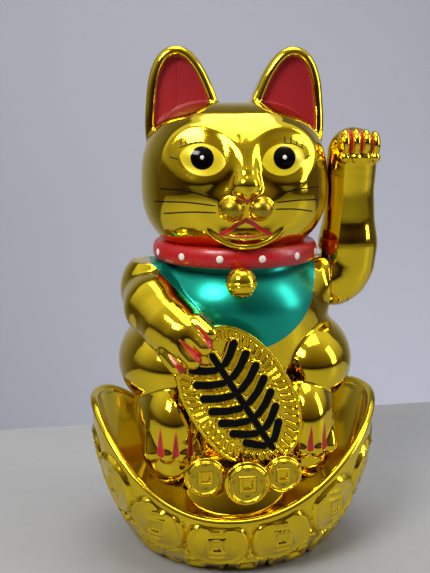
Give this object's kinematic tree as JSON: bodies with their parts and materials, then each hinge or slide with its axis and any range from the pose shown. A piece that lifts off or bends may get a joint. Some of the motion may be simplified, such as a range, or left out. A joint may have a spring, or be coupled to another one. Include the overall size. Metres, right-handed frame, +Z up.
{
  "type": "beckoning cat figurine",
  "caption": "Gold-plated beckoning cat sitting in an ingot-shaped base, with a battery-driven arm that swings on a shaft, a red collar, a bell and an oval coin tablet.",
  "frame": {"origin": "middle of the ingot base's footprint, on the table", "axes": "+Z up, -Y the way the cat looks, +X towards the cat's raised left arm"},
  "size_m": [0.1208, 0.1006, 0.2049],
  "materials": {
    "gold_plating": "gold vacuum-plated plastic under clear lacquer, mirror gloss",
    "red_enamel": "gloss red enamel",
    "ear_red": "sprayed satin red paint on the ears' insides",
    "bib_teal": "metallic teal paint, satin",
    "black_paint": "hand-painted gloss black",
    "white_paint": "hand-painted white",
    "eye_yellow": "translucent yellow lacquer",
    "white_plastic": "as moulded",
    "ivory_plastic": "fine spark-eroded texture",
    "dark_plastic": "as moulded",
    "cell_sleeve": "plain printed sleeve",
    "red_insulation": "PVC insulation",
    "board_green": "solder resist",
    "copper": "enamelled copper winding",
    "brass": "turned",
    "steel": "zinc plated",
    "magnet": "nickel plated"
  },
  "bodies": {
    "figure": {"ingot_bowl": "gold_plating", "seat_plate": "white_plastic", "base_plate": "ivory_plastic", "base_screws": "steel", "battery_cell": "cell_sleeve", "negative_spring": "steel", "positive_contact": "steel", "switch_housing": "dark_plastic", "movement_frame": "white_plastic", "frame_screws": "steel", "shaft_bushes": "brass", "coil_bobbin": "white_plastic", "drive_coil": "copper", "circuit_board": "board_green", "board_posts": "white_plastic", "drive_transistor": "dark_plastic", "capacitor": "dark_plastic", "resistor": "ivory_plastic", "lead_red": "red_insulation", "lead_black": "dark_plastic", "lead_switch": "dark_plastic", "body_front_shell": "gold_plating", "body_rear_shell": "gold_plating", "head_front_shell": "gold_plating", "head_rear_shell": "gold_plating", "collar_ring": "red_enamel", "bell": "gold_plating", "coin_tablet": "gold_plating", "front_coins": "gold_plating"},
    "arm": {"arm_shaft": "steel", "shaft_clip": "steel", "pendulum_lever": "white_plastic", "drive_magnet": "magnet", "counterweight": "steel", "arm_end_cap": "gold_plating", "arm_front_shell": "gold_plating", "arm_rear_shell": "gold_plating"},
    "door": {"battery_door": "ivory_plastic"},
    "knob": {"switch_knob": "dark_plastic"}
  },
  "joints": [
    {"name": "arm_swing", "type": "hinge", "parent": "figure", "child": "arm", "pos_m": [0.0386, 0, 0.11], "axis": [1, 0, 0], "range_deg": [-18, 18]},
    {"name": "door_slide", "type": "slide", "parent": "figure", "child": "door", "axis": [0, -1, 0], "range_m": [0, 0.005]},
    {"name": "switch_slide", "type": "slide", "parent": "figure", "child": "knob", "axis": [1, 0, 0], "range_m": [0, 0.003]}
  ]
}
